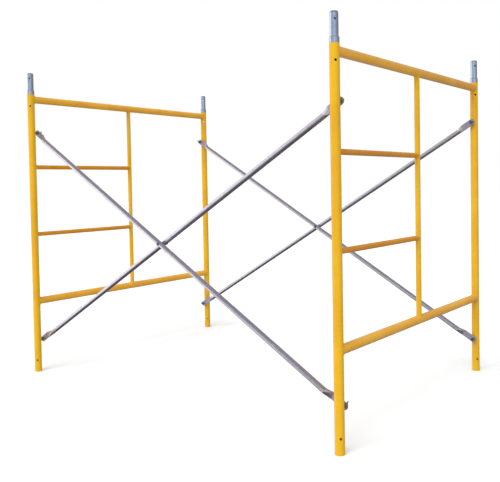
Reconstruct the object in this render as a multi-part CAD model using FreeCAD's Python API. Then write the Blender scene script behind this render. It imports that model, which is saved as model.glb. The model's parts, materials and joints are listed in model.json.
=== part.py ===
"""Frame scaffold section: two welded end frames held apart by two pairs of cross braces.

All lengths are in millimetres. X runs along the bay from the left frame to the right
frame, Y runs from the front legs to the rear legs, and Z is up. The origin is on the
ground under the middle of the bay.
"""
import FreeCAD, Part
import math
import os

INCH = 25.4
V = FreeCAD.Vector

# Driving sizes of the section
BAY_LENGTH = 84 * INCH            # left leg axis to right leg axis
FRAME_WIDTH = 60 * INCH           # front leg axis to rear leg axis
LEG_LENGTH = 66 * INCH
BAR_PITCH = 16 * INCH             # step from one bar or rung to the next
TOP_BAR_DROP = 29.4               # top bar axis below the top of the leg
STUD_HEIGHTS = {"lower": 7.5 * INCH, "upper": 57 * INCH}

# Tubes of the end frames
LEG_R = 42.9 / 2
LEG_WALL = 2.4
SOCKET_R = 39.0 / 2               # foot of the leg, reamed to slide over a coupling pin
SOCKET_DEPTH = 4.75 * INCH
BAR_R = 42.2 / 2
BAR_WALL = 2.4
POST_R = 26.7 / 2
RUNG_R = 25.4 / 2
LADDER_WALL = 1.9

# Coupling pins, one dropped into the top of each leg
PIN_R = 36.5 / 2
PIN_WALL = 3.2
PIN_REACH = 4 * INCH              # length above the collar, and again below it
PIN_NOSE_HEIGHT = 7.0
PIN_NOSE_INSET = 2.2
COLLAR_R = LEG_R
COLLAR_HEIGHT = 1 * INCH
COLLAR_BEVEL = 2.5
COLLAR_SEAT_R = PIN_R + 0.35      # swelling that grips the collar

# Cross holes that take a lock pin through leg and coupling pin
LOCK_HOLE_R = 7 / 16 * INCH / 2
LOCK_HOLE_SETBACK = 2.75 * INCH   # from the end of a leg, or from the top of a collar
LOCK_HOLE_DIRECTION = V(1, -1, 0)

# Brace studs, measured along the stud from the leg axis
PLATE_PLANE = 39.0                # middle of the flattened brace end
SHOULDER_R = 8.5
STUD_R = INCH / 4
STUD_ROOT = LEG_R - 2.15          # let into the wall of the leg
PIVOT_REACH = 55.0                # axis of the latch pin
STUD_TIP = 61.5
STUD_CHAMFER = 1.2
SLOT_WIDTH = 3.8

# Latches, flat fingers that swing in the slotted studs
LATCH_THICKNESS = 3.0
HEEL_R = 5.0
HEEL_REACH = 10.2                 # pivot to the middle of the round heel
FINGER_REACH = 17.0               # pivot to the middle of the round finger tip
FINGER_TIP_R = 2.0
LATCH_PIN_R = 1.6
LATCH_PIN_LENGTH = 12.2
LATCH_PIN_CLEARANCE = 0.05
REST_GAP = 0.3                    # heel to brace end while the latch hangs

# Cross braces
BRACE_R = 26.7 / 2
BRACE_WALL = 1.7
PLATE_THICKNESS = 4.2
PLATE_HALF_WIDTH = 18.0
PLATE_FLAT = 62.0                 # flat length from the stud hole
PLATE_BLEND = 36.0                # length in which the flat opens out into round tube
STUD_HOLE_R = 9 / 16 * INCH / 2
SPACER_THICKNESS = 2.5            # holds the two tubes of a pair apart where they cross
SPACER_R = 9.5
BOLT_R = 5.0
BOLT_HEAD_R = 9.0
BOLT_HEAD_HEIGHT = 5.0
NUT_ACROSS_FLATS = 16.0
NUT_HEIGHT = 8.0
NUT_PROUD = 3.0                   # thread that stands out of the nut

# Worked out from the above
TOP_BAR_Z = LEG_LENGTH - TOP_BAR_DROP
FRAME_X = {"left": -BAY_LENGTH / 2, "right": BAY_LENGTH / 2}
LEG_Y = {"front": -FRAME_WIDTH / 2, "rear": FRAME_WIDTH / 2}
RUNG_Z = {"upper": TOP_BAR_Z - BAR_PITCH, "lower": TOP_BAR_Z - 2 * BAR_PITCH}
BOTTOM_BAR_Z = TOP_BAR_Z - 3 * BAR_PITCH
PLATE_FACE = PLATE_PLANE + PLATE_THICKNESS / 2
LATCH_TILT = math.degrees(math.acos((PIVOT_REACH - PLATE_FACE - REST_GAP - HEEL_R) / HEEL_REACH))
TUBE_OFFSET = BRACE_R + SPACER_THICKNESS / 2
BRACE_RISE = STUD_HEIGHTS["upper"] - STUD_HEIGHTS["lower"]
BRACE_LENGTH = math.hypot(BAY_LENGTH, BRACE_RISE)
BRACE_SLOPE = math.degrees(math.atan2(BRACE_RISE, BAY_LENGTH))


def rod(radius, start, end):
    """Solid cylinder between two points."""
    along = end - start
    return Part.makeCylinder(radius, along.Length, start, along)


def tube(radius, wall, start, end):
    """Open round tube between two points."""
    return rod(radius, start, end).cut(rod(radius - wall, start, end))


def leg_core(x, y):
    """Outside of a leg, used to cope whatever is welded to it."""
    return rod(LEG_R, V(x, y, 0), V(x, y, LEG_LENGTH))


def lock_hole(x, y, z):
    """Cutter for a cross hole right through a leg or a coupling pin."""
    half = LOCK_HOLE_DIRECTION * (2 * LEG_R / LOCK_HOLE_DIRECTION.Length)
    centre = V(x, y, z)
    return rod(LOCK_HOLE_R, centre - half, centre + half)


def place_on_leg(shape, end, x, z):
    """Moves a part made on a stud along +Y to its leg; rear studs point the other way."""
    placed = shape.copy()
    if end == "rear":
        placed.rotate(V(0, 0, 0), V(0, 0, 1), 180)
    placed.translate(V(x, LEG_Y[end], z))
    return placed


# End frames

def leg(x, end, studs):
    y = LEG_Y[end]
    inside_r = LEG_R - LEG_WALL
    shape = leg_core(x, y).cut(rod(inside_r, V(x, y, SOCKET_DEPTH), V(x, y, LEG_LENGTH)))
    shape = shape.cut(rod(SOCKET_R, V(x, y, 0), V(x, y, SOCKET_DEPTH)))
    for z in (LOCK_HOLE_SETBACK, LEG_LENGTH - LOCK_HOLE_SETBACK):
        shape = shape.cut(lock_hole(x, y, z))
    for stud_shape in studs:
        shape = shape.cut(stud_shape)
    return shape


def cross_bar(x, z):
    """Bar that runs the whole width of a frame, coped to both legs."""
    shape = tube(BAR_R, BAR_WALL, V(x, LEG_Y["front"], z), V(x, LEG_Y["rear"], z))
    for y in LEG_Y.values():
        shape = shape.cut(leg_core(x, y))
    return shape


def post_core(x):
    """Outside of a centre post before it is coped to the bars."""
    return rod(POST_R, V(x, 0, BOTTOM_BAR_Z), V(x, 0, TOP_BAR_Z))


def centre_post(x):
    shape = tube(POST_R, LADDER_WALL, V(x, 0, BOTTOM_BAR_Z), V(x, 0, TOP_BAR_Z))
    for z in (BOTTOM_BAR_Z, TOP_BAR_Z):
        shape = shape.cut(rod(BAR_R, V(x, -2 * BAR_R, z), V(x, 2 * BAR_R, z)))
    return shape


def rung(x, z):
    """Ladder rung between the front leg and the centre post."""
    shape = tube(RUNG_R, LADDER_WALL, V(x, LEG_Y["front"], z), V(x, 0, z))
    return shape.cut(leg_core(x, LEG_Y["front"])).cut(post_core(x))


# Brace studs and their latches, made with the leg axis at the origin and the stud along +Y

def stud():
    root = rod(SHOULDER_R, V(0, STUD_ROOT, 0), V(0, PLATE_PLANE - PLATE_THICKNESS / 2, 0))
    straight_end = STUD_TIP - STUD_CHAMFER
    nose = rod(STUD_R, V(0, STUD_ROOT, 0), V(0, straight_end, 0))
    tip = Part.makeCone(STUD_R, STUD_R - STUD_CHAMFER, STUD_CHAMFER, V(0, straight_end, 0), V(0, 1, 0))
    slot_start = PIVOT_REACH - HEEL_REACH - HEEL_R - 1.0
    slot = Part.makeBox(SLOT_WIDTH, STUD_TIP - slot_start, 4 * STUD_R,
                        V(-SLOT_WIDTH / 2, slot_start, -2 * STUD_R))
    pin_hole = rod(LATCH_PIN_R, V(-2 * STUD_R, PIVOT_REACH, 0), V(2 * STUD_R, PIVOT_REACH, 0))
    return root.fuse(nose).fuse(tip).removeSplitter().cut(slot).cut(pin_hole)


def latch_pin():
    half = LATCH_PIN_LENGTH / 2
    return rod(LATCH_PIN_R, V(-half, PIVOT_REACH, 0), V(half, PIVOT_REACH, 0))


def latch():
    """Finger with a heavy round heel; it hangs with the heel against the brace end."""
    x = -LATCH_THICKNESS / 2
    waist = (HEEL_R + FINGER_TIP_R) / 2 + 1.0
    outline = Part.Wire([
        Part.Arc(V(x, -HEEL_REACH, HEEL_R), V(x, -HEEL_REACH - HEEL_R, 0),
                 V(x, -HEEL_REACH, -HEEL_R)).toShape(),
        Part.makeLine(V(x, -HEEL_REACH, -HEEL_R), V(x, 0, -waist)),
        Part.makeLine(V(x, 0, -waist), V(x, FINGER_REACH, -FINGER_TIP_R)),
        Part.Arc(V(x, FINGER_REACH, -FINGER_TIP_R), V(x, FINGER_REACH + FINGER_TIP_R, 0),
                 V(x, FINGER_REACH, FINGER_TIP_R)).toShape(),
        Part.makeLine(V(x, FINGER_REACH, FINGER_TIP_R), V(x, 0, waist)),
        Part.makeLine(V(x, 0, waist), V(x, -HEEL_REACH, HEEL_R)),
    ])
    shape = Part.Face(outline).extrude(V(LATCH_THICKNESS, 0, 0))
    hole_r = LATCH_PIN_R + LATCH_PIN_CLEARANCE
    shape = shape.cut(rod(hole_r, V(-LATCH_THICKNESS, 0, 0), V(LATCH_THICKNESS, 0, 0)))
    shape.rotate(V(0, 0, 0), V(1, 0, 0), LATCH_TILT)
    shape.translate(V(0, PIVOT_REACH, 0))
    return shape


# Coupling pins

def coupling_pin(x, y):
    bottom = LEG_LENGTH - PIN_REACH
    collar_top = LEG_LENGTH + COLLAR_HEIGHT
    nose_start = collar_top + PIN_REACH - PIN_NOSE_HEIGHT
    shape = rod(PIN_R, V(x, y, bottom), V(x, y, nose_start))
    shape = shape.fuse(rod(COLLAR_SEAT_R, V(x, y, LEG_LENGTH), V(x, y, collar_top)))
    shape = shape.fuse(Part.makeCone(PIN_R, PIN_R - PIN_NOSE_INSET, PIN_NOSE_HEIGHT, V(x, y, nose_start)))
    shape = shape.removeSplitter()
    shape = shape.cut(rod(PIN_R - PIN_WALL, V(x, y, bottom), V(x, y, nose_start + PIN_NOSE_HEIGHT)))
    for z in (LEG_LENGTH - LOCK_HOLE_SETBACK, collar_top + LOCK_HOLE_SETBACK):
        shape = shape.cut(lock_hole(x, y, z))
    return shape


def pin_collar(x, y):
    straight = COLLAR_HEIGHT - COLLAR_BEVEL
    shape = rod(COLLAR_R, V(x, y, LEG_LENGTH), V(x, y, LEG_LENGTH + straight))
    bevel = Part.makeCone(COLLAR_R, COLLAR_R - COLLAR_BEVEL / 2, COLLAR_BEVEL, V(x, y, LEG_LENGTH + straight))
    bore = rod(COLLAR_SEAT_R, V(x, y, LEG_LENGTH), V(x, y, LEG_LENGTH + COLLAR_HEIGHT))
    return shape.fuse(bevel).cut(bore)


# Cross braces, made along +X from one stud hole to the other with the end plates in the XZ plane

def flattened_ring(x, half_width, half_thickness):
    """Outline of the flattened tube, in four edges that start at the upper +Y corner."""
    side = half_width - half_thickness
    t = half_thickness
    return Part.Wire([
        Part.makeLine(V(x, t, side), V(x, t, -side)),
        Part.Arc(V(x, t, -side), V(x, 0, -half_width), V(x, -t, -side)).toShape(),
        Part.makeLine(V(x, -t, -side), V(x, -t, side)),
        Part.Arc(V(x, -t, side), V(x, 0, half_width), V(x, t, side)).toShape(),
    ])


def round_ring(x, y, radius):
    """Outline of the round tube, cut into four arcs that match flattened_ring."""
    c = radius / math.sqrt(2)
    return Part.Wire([
        Part.Arc(V(x, y + c, c), V(x, y + radius, 0), V(x, y + c, -c)).toShape(),
        Part.Arc(V(x, y + c, -c), V(x, y, -radius), V(x, y - c, -c)).toShape(),
        Part.Arc(V(x, y - c, -c), V(x, y - radius, 0), V(x, y - c, c)).toShape(),
        Part.Arc(V(x, y - c, c), V(x, y, radius), V(x, y + c, c)).toShape(),
    ])


def brace_end(side):
    """Flat plate with its stud hole at the origin, opening out into hollow tube along +X."""
    blend_end = PLATE_FLAT + PLATE_BLEND
    half_t = PLATE_THICKNESS / 2
    plate_ring = flattened_ring(-PLATE_HALF_WIDTH, PLATE_HALF_WIDTH, half_t)
    plate = Part.Face(plate_ring).extrude(V(PLATE_HALF_WIDTH + PLATE_FLAT, 0, 0))
    rounding = rod(PLATE_HALF_WIDTH, V(0, -PLATE_THICKNESS, 0), V(0, PLATE_THICKNESS, 0))
    keep = rounding.fuse(Part.makeBox(PLATE_FLAT, 2 * PLATE_THICKNESS, 2 * PLATE_HALF_WIDTH,
                                      V(0, -PLATE_THICKNESS, -PLATE_HALF_WIDTH)))
    plate = plate.common(keep)
    plate = plate.cut(rod(STUD_HOLE_R, V(0, -PLATE_THICKNESS, 0), V(0, PLATE_THICKNESS, 0)))
    blend = Part.makeLoft([flattened_ring(PLATE_FLAT, PLATE_HALF_WIDTH, half_t),
                           round_ring(blend_end, side * TUBE_OFFSET, BRACE_R)], True, True)
    seam = half_t - BRACE_WALL
    hollow = Part.makeLoft([flattened_ring(PLATE_FLAT + 1, PLATE_HALF_WIDTH - BRACE_WALL, seam),
                            round_ring(blend_end, side * TUBE_OFFSET, BRACE_R - BRACE_WALL)], True, True)
    return plate.fuse(blend.cut(hollow))


def brace(side):
    """Whole brace along +X; side is -1 where its tube lies towards -Y of its end plates."""
    blend_end = PLATE_FLAT + PLATE_BLEND
    y = side * TUBE_OFFSET
    middle = tube(BRACE_R, BRACE_WALL, V(blend_end, y, 0), V(BRACE_LENGTH - blend_end, y, 0))
    centre = BRACE_LENGTH / 2
    middle = middle.cut(rod(BOLT_R, V(centre, y - 2 * BRACE_R, 0), V(centre, y + 2 * BRACE_R, 0)))
    first_end = brace_end(side)
    second_end = first_end.mirror(V(centre, 0, 0), V(1, 0, 0))
    return middle.fuse([first_end, second_end]).removeSplitter()


def cross_braces(plane_y):
    """Falling and rising brace of one pair; the falling one lies towards -Y."""
    falling = brace(-1)
    falling.rotate(V(0, 0, 0), V(0, 1, 0), BRACE_SLOPE)
    falling.translate(V(FRAME_X["left"], plane_y, STUD_HEIGHTS["upper"]))
    rising = brace(1)
    rising.rotate(V(0, 0, 0), V(0, 1, 0), -BRACE_SLOPE)
    rising.translate(V(FRAME_X["left"], plane_y, STUD_HEIGHTS["lower"]))
    return falling, rising


def crossing_bolt(plane_y, z):
    """Round-headed bolt through both tubes, with its head towards -Y."""
    reach = TUBE_OFFSET + BRACE_R
    shank_end = plane_y + reach + NUT_HEIGHT + NUT_PROUD
    shank = rod(BOLT_R, V(0, plane_y - reach, z), V(0, shank_end, z))
    head = Part.makeCone(BOLT_HEAD_R, BOLT_HEAD_R * 0.6, BOLT_HEAD_HEIGHT,
                         V(0, plane_y - reach, z), V(0, -1, 0))
    return shank.fuse(head)


def crossing_nut(plane_y, z):
    corner_r = NUT_ACROSS_FLATS / math.sqrt(3)
    start = plane_y + TUBE_OFFSET + BRACE_R
    corners = []
    for step in range(7):
        angle = math.radians(60 * step)
        corners.append(V(corner_r * math.cos(angle), start, z + corner_r * math.sin(angle)))
    block = Part.Face(Part.makePolygon(corners)).extrude(V(0, NUT_HEIGHT, 0))
    return block.cut(rod(BOLT_R, V(0, start - 1, z), V(0, start + NUT_HEIGHT + 1, z)))


def crossing_spacer(plane_y, z):
    half = SPACER_THICKNESS / 2
    start = V(0, plane_y - half, z)
    end = V(0, plane_y + half, z)
    return rod(SPACER_R, start, end).cut(rod(BOLT_R, start, end))


def end_frame(side):
    """All the nodes of one end frame, by name."""
    x = FRAME_X[side]
    nodes = {}
    latch_pins = []
    for end in LEG_Y:
        studs = []
        for level, z in STUD_HEIGHTS.items():
            name = f"{side}_{end}_{level}"
            studs.append(place_on_leg(stud(), end, x, z))
            nodes[f"{name}_stud"] = studs[-1]
            nodes[f"{name}_latch"] = place_on_leg(latch(), end, x, z)
            latch_pins.append(place_on_leg(latch_pin(), end, x, z))
        nodes[f"{side}_{end}_leg"] = leg(x, end, studs)
        nodes[f"{side}_{end}_coupling_pin"] = coupling_pin(x, LEG_Y[end])
        nodes[f"{side}_{end}_pin_collar"] = pin_collar(x, LEG_Y[end])
    nodes[f"{side}_latch_pins"] = Part.makeCompound(latch_pins)
    nodes[f"{side}_top_bar"] = cross_bar(x, TOP_BAR_Z)
    nodes[f"{side}_bottom_bar"] = cross_bar(x, BOTTOM_BAR_Z)
    nodes[f"{side}_centre_post"] = centre_post(x)
    for level, z in RUNG_Z.items():
        nodes[f"{side}_{level}_rung"] = rung(x, z)
    return nodes


def brace_set(end):
    """All the nodes of one cross-brace pair, by name."""
    inward = 1 if end == "front" else -1
    plane_y = LEG_Y[end] + inward * PLATE_PLANE
    crossing_z = (STUD_HEIGHTS["upper"] + STUD_HEIGHTS["lower"]) / 2
    falling, rising = cross_braces(plane_y)
    return {
        f"{end}_falling_brace": falling,
        f"{end}_rising_brace": rising,
        f"{end}_crossing_bolt": crossing_bolt(plane_y, crossing_z),
        f"{end}_crossing_nut": crossing_nut(plane_y, crossing_z),
        f"{end}_crossing_spacer": crossing_spacer(plane_y, crossing_z),
    }


def main():
    os.makedirs("parts", exist_ok=True)
    nodes = {}
    for side in FRAME_X:
        nodes.update(end_frame(side))
    for end in LEG_Y:
        nodes.update(brace_set(end))
    for name, shape in nodes.items():
        shape.exportStep(f"parts/{name}.step")


main()
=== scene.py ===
"""Looks of the frame scaffold section: finishes of the CAD nodes, welds, pin heads, studio and camera.

Metres, in the part's own frame: +X along the bay, +Y from the front to the rear, +Z up.
"""

import json
import math
import random
from itertools import product

import bmesh
import bpy
from mathutils import Matrix, Vector


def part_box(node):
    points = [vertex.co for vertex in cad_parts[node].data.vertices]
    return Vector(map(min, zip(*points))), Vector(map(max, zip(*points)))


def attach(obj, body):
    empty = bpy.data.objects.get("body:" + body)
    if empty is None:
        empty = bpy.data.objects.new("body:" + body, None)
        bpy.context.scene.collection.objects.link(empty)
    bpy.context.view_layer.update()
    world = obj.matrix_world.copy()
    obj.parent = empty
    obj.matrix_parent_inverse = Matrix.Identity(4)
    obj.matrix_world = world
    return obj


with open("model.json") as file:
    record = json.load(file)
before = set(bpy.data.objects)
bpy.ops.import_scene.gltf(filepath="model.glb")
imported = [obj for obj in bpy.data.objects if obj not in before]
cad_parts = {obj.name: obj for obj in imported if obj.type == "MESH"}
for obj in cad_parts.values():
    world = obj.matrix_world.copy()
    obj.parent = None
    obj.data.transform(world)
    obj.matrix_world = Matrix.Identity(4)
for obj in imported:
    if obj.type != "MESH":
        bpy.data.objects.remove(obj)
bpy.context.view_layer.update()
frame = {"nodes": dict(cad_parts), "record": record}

MM = 0.001
X = Vector((1, 0, 0))
Y = Vector((0, 1, 0))
Z = Vector((0, 0, 1))
SIDES = ("left", "right")
ENDS = ("front", "rear")
LEVELS = ("lower", "upper")

# Camera, off the right front corner of the section. Angles in radians, lens in millimetres.
CAMERA_PLACE = Vector((2.504, -3.098, 1.116))
CAMERA_HEADING = 0.6798
CAMERA_TILT = -0.0329
CAMERA_ROLL = -0.0182
CAMERA_LENS = 48.3
CAMERA_SHIFT_UP = -0.07

# Studio. Compass angles are in degrees from +X towards +Y: the right is 0, the rear 90 and the front 270.
FILL_STRENGTH = 0.8
FILL_COLOUR = (1.0, 0.96, 0.91, 1.0)
KEY_COMPASS = 274
KEY_RISE = 48
KEY_STRENGTH = 1.8
KEY_SOFTNESS = math.radians(40)
FLOOR_RADIUS = 40.0
FLOOR_GAP = 0.2 * MM

# What polished surfaces see round the room, as (compass angle, brightness): bright on the left, about half
# as bright across the front, and dim on the right and at the rear
PANELS = ((0, 0.36), (40, 0.26), (80, 0.24), (108, 0.28), (130, 0.6), (150, 1.0), (190, 1.0), (206, 1.5),
          (220, 0.95), (246, 0.42), (270, 0.52), (300, 0.65), (330, 0.62), (360, 0.34))
# Between these sines of a view's steepness, the panels give way to the ceiling or the ground
PANEL_RISE = (0.25, 0.8)
CEILING = 0.24
GROUND = 0.08

# Wear. Edge radii are how far from a sharp edge it reaches.
LEG_END_WEAR = 160 * MM
PAINT_EDGE = 1.4 * MM
ZINC_EDGE = 0.9 * MM
HARDWARE_EDGE = 0.5 * MM

# Galvanised tube. Its streaks are noise drawn out along it and squeezed across it, by these factors. The
# crushed ends are measured back from the ends of a brace.
STREAK_ALONG = 0.6
STREAK_ACROSS = 0.012
ZINC_ROUGH = (0.13, 0.25)
ZINC_SHINE = 0.92
CRUSHED_LENGTH = 60 * MM
CRUSHED_FADE = 40 * MM
CRUSHED_ROUGH = 0.42
CRUSHED_SHINE = 0.6

# Welds. A bead's size is how far it reaches from the seam along each tube.
BAR_BEAD = 5.2 * MM
POST_BEAD = 4.6 * MM
RUNG_BEAD = 4.2 * MM
STUD_BEAD = 3.4 * MM
BEAD_STEPS = 6
BEAD_SINK = 0.35 * MM
BEAD_RISE = 0.14
BEAD_RISE_ON_FLAT = 0.16
BEAD_ROOT = 0.5
SEAM_STEP = 0.001
SADDLE_STRETCH = 1.08
RIPPLE_PITCH = 3.0 * MM
RINGS_PER_RIPPLE = 5
RIPPLE_HEIGHTS = (0.75, 1.2)
RIPPLE_WIDTHS = (0.92, 1.08)
RIPPLE_LAG = 0.45
RIPPLE_FLOOR = 0.45
RIPPLE_SWELL = 0.75
RIPPLE_ROUNDNESS = 0.7

# Latch pin heads. HEAD_CURL is how far up the dome its small flat top begins, in radians.
STUD_NOSE_RADIUS = 6.35 * MM
HEAD_RADIUS = 2.3 * MM
HEAD_SINK = 0.6 * MM
HEAD_PROUD = 0.5 * MM
HEAD_CURL = 1.45
HEAD_UNEVEN = (0.95, 1.05)
HEAD_RINGS = 5
HEAD_SEGMENTS = 20


def srgb(red, green, blue):
    """A colour given as 0 to 255, as the eye reads it, turned into the linear numbers that shaders use."""
    def linear(part):
        part = part / 255
        return part / 12.92 if part <= 0.04045 else ((part + 0.055) / 1.055) ** 2.4
    return (linear(red), linear(green), linear(blue), 1.0)


# Coats of the frame's paint: where it is thick, where it is thin and where it is worn
ENAMELS = {
    "frame_paint": (srgb(234, 183, 10), srgb(226, 171, 6), srgb(204, 140, 8)),
    # The bar coat is a paler copy of the frame's enamel: painted sheen for the light that the bars catch
    "bar_paint": (srgb(238, 180, 58), srgb(230, 168, 46), srgb(208, 142, 40)),
    # The rung coat is a darker, more orange copy of it: painted shade for the light that the rungs miss
    "rung_paint": (srgb(220, 147, 12), srgb(212, 139, 8), srgb(184, 111, 10)),
}
# Darker, browner colour for sharp edges: thin paint on outer edges, painted shade in inner edges and
# creases
EDGE_PAINT_AND_CREASE_SHADE = srgb(150, 96, 28)
BARE_STEEL = srgb(96, 88, 84)
RUSTY_STEEL = srgb(112, 68, 42)

# Zinc: its light and dark crystals, its stains, and how many crystals there are to a metre
PIN_ZINC = (srgb(214, 228, 250), srgb(172, 190, 222), srgb(96, 104, 126), 110.0)
BRACE_ZINC = (srgb(236, 230, 244), srgb(204, 198, 216), srgb(140, 134, 150), 75.0)
CRUSHED_ZINC = srgb(134, 136, 150)

# Small steel pieces: light and dark skin, dust, roughness and how metallic they look
HARDWARE = {
    "stud_steel": (srgb(168, 166, 174), srgb(134, 131, 140), srgb(122, 108, 88), 0.36, 0.9),
    "latch_steel": (srgb(58, 56, 60), srgb(34, 33, 36), srgb(90, 78, 62), 0.42, 0.7),
    "bolt_steel": (srgb(146, 143, 152), srgb(108, 105, 114), srgb(118, 106, 96), 0.34, 0.95),
}
RUBBED_STEEL = srgb(170, 168, 172)

WHITE = (1, 1, 1, 1)
FLOOR_TONES = (srgb(246, 250, 255), srgb(243, 247, 252))


# ---------------------------------------------------------------- node trees

class Nodes:
    """A node tree, with one short call for each kind of node that it uses often."""

    def __init__(self, tree):
        self.tree = tree

    def node(self, kind, **settings):
        made = self.tree.nodes.new(kind)
        for key, value in settings.items():
            setattr(made, key, value)
        return made

    def feed(self, socket, value):
        """Links an output, or sets a plain number or colour."""
        if isinstance(value, bpy.types.NodeSocket):
            self.tree.links.new(value, socket)
        else:
            socket.default_value = value

    def math(self, operation, a, b=0.0, clamp=False):
        made = self.node("ShaderNodeMath", operation=operation, use_clamp=clamp)
        self.feed(made.inputs[0], a)
        self.feed(made.inputs[1], b)
        return made.outputs[0]

    def ramp(self, value, low, high, to_low=0.0, to_high=1.0):
        """value from low to high becomes to_low to to_high, held at both ends."""
        made = self.node("ShaderNodeMapRange", interpolation_type="SMOOTHSTEP")
        self.feed(made.inputs["Value"], value)
        for key, number in (("From Min", low), ("From Max", high), ("To Min", to_low), ("To Max", to_high)):
            made.inputs[key].default_value = number
        return made.outputs["Result"]

    def mix(self, share, a, b):
        """Colour a where share is 0 and colour b where it is 1."""
        made = self.node("ShaderNodeMix", data_type="RGBA")
        self.feed(made.inputs["Factor"], share)
        self.feed(made.inputs[6], a)
        self.feed(made.inputs[7], b)
        return made.outputs[2]

    def between(self, share, a, b):
        """Number a where share is 0 and number b where it is 1."""
        made = self.node("ShaderNodeMix")
        self.feed(made.inputs["Factor"], share)
        self.feed(made.inputs[2], a)
        self.feed(made.inputs[3], b)
        return made.outputs[0]

    def axes(self, place):
        """The three coordinates of a place or direction, as outputs named X, Y and Z."""
        made = self.node("ShaderNodeSeparateXYZ")
        self.feed(made.inputs[0], place)
        return made.outputs


class Graph(Nodes):
    """A material's node tree."""

    def __init__(self, name):
        self.material = bpy.data.materials.new(name)
        self.material.use_nodes = True
        super().__init__(self.material.node_tree)
        self.shader = self.tree.nodes["Principled BSDF"]
        self.place = self.node("ShaderNodeTexCoord").outputs["Object"]

    def plain(self, **values):
        """Numbers that are the same all over the surface, on the shader's own sockets."""
        for key, value in values.items():
            self.shader.inputs[key.replace("_", " ")].default_value = value

    def noise(self, scale, detail=3.0, roughness=0.5, place=None):
        """Noise with scale features per metre of place, or of the object if no place is given."""
        made = self.node("ShaderNodeTexNoise")
        made.inputs["Scale"].default_value = scale
        made.inputs["Detail"].default_value = detail
        made.inputs["Roughness"].default_value = roughness
        self.feed(made.inputs["Vector"], place or self.place)
        return made.outputs["Fac"]

    def stretched(self, stretch, turn):
        """A place that makes noise longer along each axis, after a turn about Y."""
        mapping = self.node("ShaderNodeMapping", vector_type="TEXTURE")
        mapping.inputs["Scale"].default_value = stretch
        mapping.inputs["Rotation"].default_value = (0, turn, 0)
        self.feed(mapping.inputs["Vector"], self.place)
        return mapping.outputs["Vector"]

    def crystals(self, per_metre):
        """Three random numbers for each cell of a pattern of crystals."""
        cells = self.node("ShaderNodeTexVoronoi", feature="F1")
        cells.inputs["Scale"].default_value = per_metre
        self.feed(cells.inputs["Vector"], self.place)
        split = self.node("ShaderNodeSeparateColor")
        self.feed(split.inputs[0], cells.outputs["Color"])
        return split.outputs

    def edges(self, radius):
        """1 on sharp outer and inner edges, 0 on open surface."""
        rounded = self.node("ShaderNodeBevel", samples=6)
        rounded.inputs["Radius"].default_value = radius
        dot = self.node("ShaderNodeVectorMath", operation="DOT_PRODUCT")
        self.feed(dot.inputs[0], rounded.outputs["Normal"])
        self.feed(dot.inputs[1], self.node("ShaderNodeNewGeometry").outputs["Normal"])
        return self.ramp(dot.outputs["Value"], 0.99, 0.9)

    def bump(self, *layers):
        """Layers of (height, depth in metres), laid one over the other."""
        normal = None
        for value, depth in layers:
            made = self.node("ShaderNodeBump")
            made.inputs["Distance"].default_value = depth
            made.inputs["Strength"].default_value = 1.0
            self.feed(made.inputs["Height"], value)
            if normal:
                self.feed(made.inputs["Normal"], normal)
            normal = made.outputs["Normal"]
        self.feed(self.shader.inputs["Normal"], normal)

    def finish(self, colour, roughness, metallic=None):
        self.feed(self.shader.inputs["Base Color"], colour)
        self.feed(self.shader.inputs["Roughness"], roughness)
        if metallic is not None:
            self.feed(self.shader.inputs["Metallic"], metallic)
        return self.material


# ---------------------------------------------------------------- materials

def enamel(name, thick, thin_film, worn):
    """Yellow enamel: slight orange peel, uneven film, darker on sharp edges and chipped most at the leg
    ends. The darker edges are thin paint on outer edges and painted shade in inner edges and creases.
    """
    graph = Graph(name)
    film = graph.noise(6.0, detail=4.0)
    mottle = graph.noise(70.0)
    colour = graph.mix(graph.ramp(film, 0.35, 0.65), thick, thin_film)
    colour = graph.mix(graph.ramp(mottle, 0.45, 0.75, to_high=0.15), colour, worn)

    edge = graph.edges(PAINT_EDGE)
    ragged = graph.noise(260.0, detail=4.0, roughness=0.65)
    # Sharp edges are darkened: thin paint on the outer ones, painted shade in the inner ones and in creases
    thin_edge_and_crease_shade = graph.math("MULTIPLY", edge, graph.ramp(ragged, 0.38, 0.6), clamp=True)
    colour = graph.mix(graph.math("MULTIPLY", thin_edge_and_crease_shade, 0.55), colour, EDGE_PAINT_AND_CREASE_SHADE)

    leg_bottom, leg_top = (corner.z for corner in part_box("left_front_leg"))
    height = graph.axes(graph.place)["Z"]
    near_top = graph.ramp(height, leg_top - LEG_END_WEAR, leg_top)
    near_foot = graph.ramp(height, leg_bottom + LEG_END_WEAR, leg_bottom)
    near_ends = graph.math("MAXIMUM", near_top, near_foot)
    chip_noise = graph.noise(150.0, detail=2.0, roughness=0.4)
    chips = graph.ramp(graph.math("ADD", chip_noise, graph.math("MULTIPLY", near_ends, 0.07)), 0.8, 0.815)
    edge_chips = graph.math("MULTIPLY", edge, graph.ramp(ragged, 0.6, 0.64), clamp=True)
    bare = graph.math("MAXIMUM", chips, edge_chips)
    steel = graph.mix(graph.ramp(graph.noise(500.0), 0.4, 0.7), BARE_STEEL, RUSTY_STEEL)
    colour = graph.mix(bare, colour, steel)

    rough = graph.ramp(graph.noise(24.0, detail=5.0), 0.3, 0.75, 0.2, 0.36)
    rough = graph.math("ADD", rough, graph.math("MULTIPLY", bare, 0.3), clamp=True)
    peel = graph.noise(650.0, detail=1.0)
    ripple = graph.noise(60.0, detail=1.0)
    graph.bump((ripple, 0.04 * MM), (peel, 0.006 * MM), (graph.math("SUBTRACT", 1.0, bare), 0.1 * MM))
    graph.plain(Coat_Weight=0.65, Coat_Roughness=0.09, Specular_IOR_Level=0.2)
    return graph.finish(colour, rough)


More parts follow.
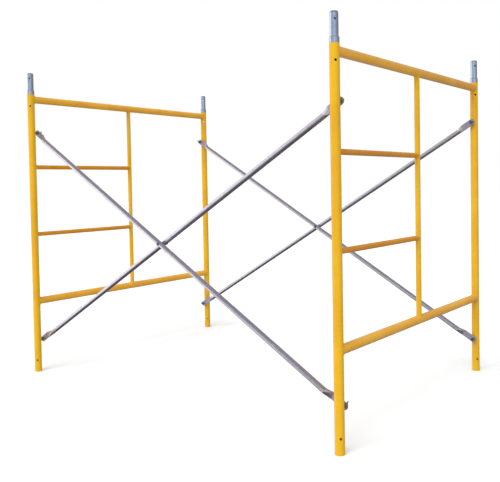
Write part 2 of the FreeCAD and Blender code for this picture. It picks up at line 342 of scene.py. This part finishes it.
def zinc(name, light, dark, stain, crystals_per_metre, slope=None):
    """Galvanised tube: faint crystals, long drawn streaks, small dull stains and dark worn edges.

    slope is the tube's tilt from +X, or None for an upright tube. The crushed ends of a sloping tube are
    duller and greyer than the rest of it.
    """
    graph = Graph(name)
    if slope is None:
        along_tube = graph.stretched((STREAK_ACROSS, STREAK_ACROSS, STREAK_ALONG), 0)
    else:
        along_tube = graph.stretched((STREAK_ALONG, STREAK_ACROSS, STREAK_ACROSS), -slope)
    shade_cell, rough_cell, height_cell = graph.crystals(crystals_per_metre)
    streak = graph.noise(3.0, detail=4.0, place=along_tube)
    shade = graph.math("MULTIPLY", streak, 0.88)
    shade = graph.math("ADD", graph.math("MULTIPLY", shade_cell, 0.22), shade)
    colour = graph.mix(graph.ramp(shade, 0.25, 0.9), light, dark)
    spots = graph.ramp(graph.noise(55.0, detail=4.0, roughness=0.55), 0.66, 0.8, to_high=0.4)
    colour = graph.mix(spots, colour, stain)
    rubbed = graph.ramp(graph.noise(300.0), 0.4, 0.6, 0.15, 0.7)
    colour = graph.mix(graph.math("MULTIPLY", graph.edges(ZINC_EDGE), rubbed, clamp=True), colour, stain)

    cloud = graph.noise(14.0, detail=4.0)
    blotch = graph.math("ADD", graph.math("MULTIPLY", rough_cell, 0.35), cloud)
    roughness = graph.ramp(blotch, 0.35, 1.0, *ZINC_ROUGH)
    roughness = graph.math("ADD", roughness, graph.math("MULTIPLY", spots, 0.25), clamp=True)
    metallic = ZINC_SHINE
    if slope is not None:
        crushed_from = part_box("front_rising_brace")[1].x - CRUSHED_LENGTH
        off_middle = graph.math("ABSOLUTE", graph.axes(graph.place)["X"])
        crushed = graph.ramp(off_middle, crushed_from - CRUSHED_FADE, crushed_from)
        colour = graph.mix(graph.math("MULTIPLY", crushed, 0.7), colour, CRUSHED_ZINC)
        roughness = graph.math("MAXIMUM", roughness, graph.math("MULTIPLY", crushed, CRUSHED_ROUGH))
        metallic = graph.ramp(crushed, 0.0, 1.0, ZINC_SHINE, CRUSHED_SHINE)
    graph.bump((streak, 0.002 * MM), (height_cell, 0.001 * MM))
    return graph.finish(colour, roughness, metallic)


def hardware(name, light, dark, dust, rough, shine):
    """Small steel pieces: a grained skin, rubbed bright on its edges, with patches of dust."""
    graph = Graph(name)
    grain = graph.noise(320.0, detail=5.0, roughness=0.6)
    colour = graph.mix(graph.ramp(grain, 0.35, 0.65), dark, light)
    colour = graph.mix(graph.ramp(graph.noise(60.0), 0.55, 0.8, to_high=0.5), colour, dust)
    rubbed = graph.math("MULTIPLY", graph.edges(HARDWARE_EDGE), graph.ramp(grain, 0.4, 0.6), clamp=True)
    colour = graph.mix(graph.math("MULTIPLY", rubbed, 0.6), colour, RUBBED_STEEL)
    roughness = graph.ramp(graph.noise(180.0), 0.3, 0.7, rough - 0.08, rough + 0.1)
    graph.bump((grain, 0.03 * MM), (graph.noise(900.0), 0.01 * MM))
    graph.plain(Metallic=shine)
    return graph.finish(colour, roughness)


def floor_material():
    """Pale studio floor with a faint tone of its own."""
    graph = Graph("studio_floor")
    tone = graph.ramp(graph.noise(0.8, detail=2.0), 0.3, 0.7)
    graph.plain(Specular_IOR_Level=0.0)
    return graph.finish(graph.mix(tone, *FLOOR_TONES), 0.9)


def brace_slope():
    """The tilt of a brace from level, from the box around it."""
    low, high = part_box("front_rising_brace")
    return math.atan2(high.z - low.z, high.x - low.x)


def make_materials():
    """Every finish by its name. Braces have one for each way they lean, to streak along their length."""
    made = {name: enamel(name, *look) for name, look in ENAMELS.items()}
    made.update({name: hardware(name, *look) for name, look in HARDWARE.items()})
    made["pin_zinc"] = zinc("pin_zinc", *PIN_ZINC)
    made["rising_zinc"] = zinc("rising_zinc", *BRACE_ZINC, slope=brace_slope())
    made["falling_zinc"] = zinc("falling_zinc", *BRACE_ZINC, slope=-brace_slope())
    return made


def slot_of(node):
    """The material slot that the record gives a CAD node. It can be read until the node is dressed."""
    return frame["nodes"][node].material_slots[0].material.name


def dress_nodes(materials):
    """Gives every CAD node its finish, in the slot it came with. Bars get a paler copy of the enamel as
    painted sheen, and rungs a darker, more orange copy as painted shade.
    """
    for name, node in frame["nodes"].items():
        finish = slot_of(name)
        if finish == "brace_zinc":
            finish = "rising_zinc" if "rising" in name else "falling_zinc"
        # Bars and rungs take the toned copies of the enamel: painted sheen on the bars, painted shade on
        # the rungs
        if name.endswith(("bar", "rung")):
            finish = name.split("_")[-1] + "_paint"
        node.material_slots[0].material = materials[finish]


# ---------------------------------------------------------------- mesh pieces

def mesh_object(name, bm, material):
    """Puts a finished mesh in the scene."""
    mesh = bpy.data.meshes.new(name)
    bm.to_mesh(mesh)
    bm.free()
    mesh.materials.append(material)
    made = bpy.data.objects.new(name, mesh)
    bpy.context.scene.collection.objects.link(made)
    return made


def piece(name, bm, material, body):
    """A smooth closed piece that rides on a body."""
    bmesh.ops.recalc_face_normals(bm, faces=bm.faces)
    made = mesh_object(name, bm, material)
    made.data.shade_smooth()
    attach(made, body)


def skin_rings(bm, rings, closed):
    """Joins equal rings of points with quads. A closed row of rings joins its last ring to its first."""
    rows = [[bm.verts.new(point) for point in ring] for ring in rings]
    pairs = list(zip(rows, rows[1:]))
    if closed:
        pairs.append((rows[-1], rows[0]))
    for here, there in pairs:
        for k in range(len(here)):
            after = (k + 1) % len(here)
            bm.faces.new((here[k], here[after], there[after], there[k]))
    return rows


class Tube:
    """A round tube or rod: a point on its centre line, its direction and its outer radius."""

    def __init__(self, centre, axis, radius):
        self.centre = centre
        self.axis = axis
        self.radius = radius

    def onto(self, point, sink):
        """The point moved straight in or out to sit sink below the surface."""
        on_axis = self.centre + self.axis * (point - self.centre).dot(self.axis)
        return on_axis + (point - on_axis).normalized() * (self.radius - sink)


def tube_of(node, axis):
    """A CAD tube that runs along X, Y or Z, read from its box. Its smallest width is its diameter."""
    low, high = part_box(node)
    across = [high[k] - low[k] for k in range(3) if axis[k] == 0]
    return Tube((low + high) / 2, axis, min(across) / 2)


def joint_point(main, branch):
    """Where the centre line of branch crosses that of main, both square to each other."""
    return main.centre + main.axis * (branch.centre - main.centre).dot(main.axis)


def bead_ring(main, branch, out, angle, width, crown):
    """One cross-section of a fillet weld around branch where it leaves main in direction out."""
    start = joint_point(main, branch)
    side = main.axis.cross(out)

    def seam(turn):
        reach = branch.radius * math.sin(turn)
        depth = math.sqrt(main.radius ** 2 - reach ** 2)
        return start + main.axis * branch.radius * math.cos(turn) + side * reach + out * depth

    here = seam(angle)
    tangent = (seam(angle + SEAM_STEP) - seam(angle - SEAM_STEP)).normalized()
    off_branch = (main.axis * math.cos(angle) + side * math.sin(angle)).normalized()
    off_main = (here - start - main.axis * (here - start).dot(main.axis)).normalized()
    on_main = tangent.cross(off_main)
    on_branch = tangent.cross(off_branch)
    if on_main.dot(off_branch) < 0:
        on_main.negate()
    if on_branch.dot(out) < 0:
        on_branch.negate()
    middle = (off_branch + off_main).normalized()
    flatness = max(0.0, off_branch.dot(off_main))
    toe_main = main.onto(here + on_main * width, BEAD_SINK)
    toe_branch = branch.onto(here + on_branch * width, BEAD_SINK)
    ring = []
    for k in range(BEAD_STEPS + 1):
        share = k / BEAD_STEPS
        rise = 4 * share * (1 - share)
        lift = width * (BEAD_RISE + BEAD_RISE_ON_FLAT * flatness) * crown(rise)
        ring.append(toe_main.lerp(toe_branch, share) + middle * rise * lift)
    ring.append(here - middle * width * BEAD_ROOT)
    return ring


def weld(name, main, branch, out, width, material):
    """A rippled fillet weld all round, as the torch leaves it, under the paint."""
    dice = random.Random(name)
    ripples = round(2 * math.pi * branch.radius * SADDLE_STRETCH / RIPPLE_PITCH)
    count = ripples * RINGS_PER_RIPPLE
    heights = [dice.uniform(*RIPPLE_HEIGHTS) for _ in range(ripples)]
    widths = [dice.uniform(*RIPPLE_WIDTHS) for _ in range(ripples)]
    rings = []
    for k in range(count):
        place = k / RINGS_PER_RIPPLE

        def crown(rise, place=place):
            """Crescent ripples: the middle of each lags behind its toes."""
            phase = place + RIPPLE_LAG * rise
            swell = RIPPLE_SWELL * abs(math.sin(math.pi * phase)) ** RIPPLE_ROUNDNESS
            return heights[int(phase) % ripples] * (RIPPLE_FLOOR + swell)

        wide = width * widths[int(place) % ripples]
        rings.append(bead_ring(main, branch, out, 2 * math.pi * k / count, wide, crown))
    bm = bmesh.new()
    skin_rings(bm, rings, closed=True)
    piece(name, bm, material, "section")


def towards(start, end, axis):
    """The direction along axis that leads from start to end."""
    return axis if (end - start).dot(axis) > 0 else -axis


def add_welds(paint):
    """A weld wherever a bar, post, rung or stud meets the tube that carries it."""
    for side in SIDES:
        legs = {end: tube_of(f"{side}_{end}_leg", Z) for end in ENDS}
        bars = {level: tube_of(f"{side}_{level}_bar", Y) for level in ("top", "bottom")}
        post = tube_of(f"{side}_centre_post", Z)
        for (end, leg), (level, bar) in product(legs.items(), bars.items()):
            out = towards(leg.centre, bar.centre, Y)
            weld(f"{side}_{end}_{level}_bar_weld", leg, bar, out, BAR_BEAD, paint)
        for level, bar in bars.items():
            out = towards(bar.centre, post.centre, Z)
            weld(f"{side}_{level}_post_weld", bar, post, out, POST_BEAD, paint)
        for level in LEVELS:
            rung = tube_of(f"{side}_{level}_rung", Y)
            weld(f"{side}_{level}_rung_leg_weld", legs["front"], rung, Y, RUNG_BEAD, paint)
            weld(f"{side}_{level}_rung_post_weld", post, rung, -Y, RUNG_BEAD, paint)
        for end, level in product(ENDS, LEVELS):
            stud = tube_of(f"{side}_{end}_{level}_stud", Y)
            out = towards(legs[end].centre, stud.centre, Y)
            weld(f"{side}_{end}_{level}_stud_weld", legs[end], stud, out, STUD_BEAD, paint)


def pin_head(bm, centre, way, dice):
    """A peened pin end: a shallow dome on one side of the stud's nose, a little uneven from the hammer."""
    rings = []
    for k in range(HEAD_RINGS + 1):
        angle = HEAD_CURL * k / HEAD_RINGS
        height = STUD_NOSE_RADIUS - HEAD_SINK + (HEAD_SINK + HEAD_PROUD) * math.sin(angle)
        ring = []
        for turn in range(HEAD_SEGMENTS):
            around = math.tau * turn / HEAD_SEGMENTS
            reach = HEAD_RADIUS * math.cos(angle) * dice.uniform(*HEAD_UNEVEN)
            off_axis = Y * reach * math.cos(around) + Z * reach * math.sin(around)
            ring.append(centre + X * way * height + off_axis)
        rings.append(ring)
    rows = skin_rings(bm, rings, closed=False)
    bm.faces.new(rows[0])
    bm.faces.new(rows[-1])


def add_pin_heads(steel):
    """Both heads of every latch pin, on the axis that the record gives the latch's joint."""
    joints = {joint["name"]: joint for joint in frame["record"]["behaviour"]["joints"]}
    for side, end, level in product(SIDES, ENDS, LEVELS):
        name = f"{side}_{end}_{level}"
        centre = Vector(joints[f"{name}_latch_flip"]["pos_m"])
        bm = bmesh.new()
        for way in (-1, 1):
            pin_head(bm, centre, way, random.Random(name))
        piece(f"{name}_pin_heads", bm, steel, "section")


# ---------------------------------------------------------------- studio

def add_floor():
    bm = bmesh.new()
    bmesh.ops.create_circle(bm, cap_ends=True, radius=FLOOR_RADIUS, segments=96)
    bmesh.ops.translate(bm, verts=bm.verts, vec=-Z * FLOOR_GAP)
    floor = mesh_object("floor", bm, floor_material())
    floor.visible_glossy = False
    floor.visible_diffuse = False


def add_room():
    """An even soft fill, seen as plain white. Polished surfaces see panels, ceiling and ground instead."""
    world = bpy.data.worlds.new("room")
    world.use_nodes = True
    bpy.context.scene.world = world
    graph = Nodes(world.node_tree)

    axes = graph.axes(graph.node("ShaderNodeTexCoord").outputs["Generated"])
    compass = graph.math("ARCTAN2", axes["Y"], axes["X"])
    around = graph.node("ShaderNodeValToRGB")
    around.color_ramp.interpolation = "EASE"
    stops = around.color_ramp.elements
    for angle, brightness in PANELS:
        stop = stops.new(angle / 360) if 0 < angle < 360 else stops[-1 if angle else 0]
        stop.color = (brightness, brightness, brightness, 1)
    graph.feed(around.inputs["Fac"], graph.math("FRACT", graph.math("MULTIPLY", compass, 1 / math.tau)))

    steep = graph.ramp(graph.math("ABSOLUTE", axes["Z"]), *PANEL_RISE)
    beyond = graph.between(graph.math("GREATER_THAN", axes["Z"], 0), GROUND, CEILING)
    mirrored = graph.between(steep, around.outputs["Color"], beyond)
    rays = graph.node("ShaderNodeLightPath").outputs
    lit = graph.between(rays["Is Glossy Ray"], FILL_STRENGTH, mirrored)
    background = graph.tree.nodes["Background"]
    graph.feed(background.inputs["Strength"], graph.between(rays["Is Camera Ray"], lit, 1.0))
    graph.feed(background.inputs["Color"], graph.mix(rays["Is Diffuse Ray"], WHITE, FILL_COLOUR))


def add_key():
    """One wide soft light from the front. Polished metal sees the room's panels and not this light."""
    light = bpy.data.lights.new("key", "SUN")
    light.energy = KEY_STRENGTH
    light.angle = KEY_SOFTNESS
    lamp = bpy.data.objects.new("key", light)
    turn = Matrix.Rotation(math.radians(KEY_COMPASS + 90), 4, "Z")
    lean = Matrix.Rotation(math.radians(90 - KEY_RISE), 4, "X")
    lamp.matrix_world = turn @ lean
    lamp.visible_glossy = False
    bpy.context.scene.collection.objects.link(lamp)


def add_camera():
    data = bpy.data.cameras.new("camera")
    data.lens = CAMERA_LENS
    data.shift_y = CAMERA_SHIFT_UP
    camera = bpy.data.objects.new("camera", data)
    heading = Matrix.Rotation(CAMERA_HEADING, 4, "Z")
    tilt = Matrix.Rotation(math.pi / 2 + CAMERA_TILT, 4, "X")
    roll = Matrix.Rotation(CAMERA_ROLL, 4, "Z")
    camera.matrix_world = Matrix.Translation(CAMERA_PLACE) @ heading @ tilt @ roll
    bpy.context.scene.collection.objects.link(camera)
    bpy.context.scene.camera = camera


add_camera()
add_room()
add_key()
add_floor()
finishes = make_materials()
dress_nodes(finishes)
add_welds(finishes["frame_paint"])
add_pin_heads(finishes["bolt_steel"])
bpy.context.scene.view_settings.view_transform = "Standard"

bpy.context.view_layer.update()
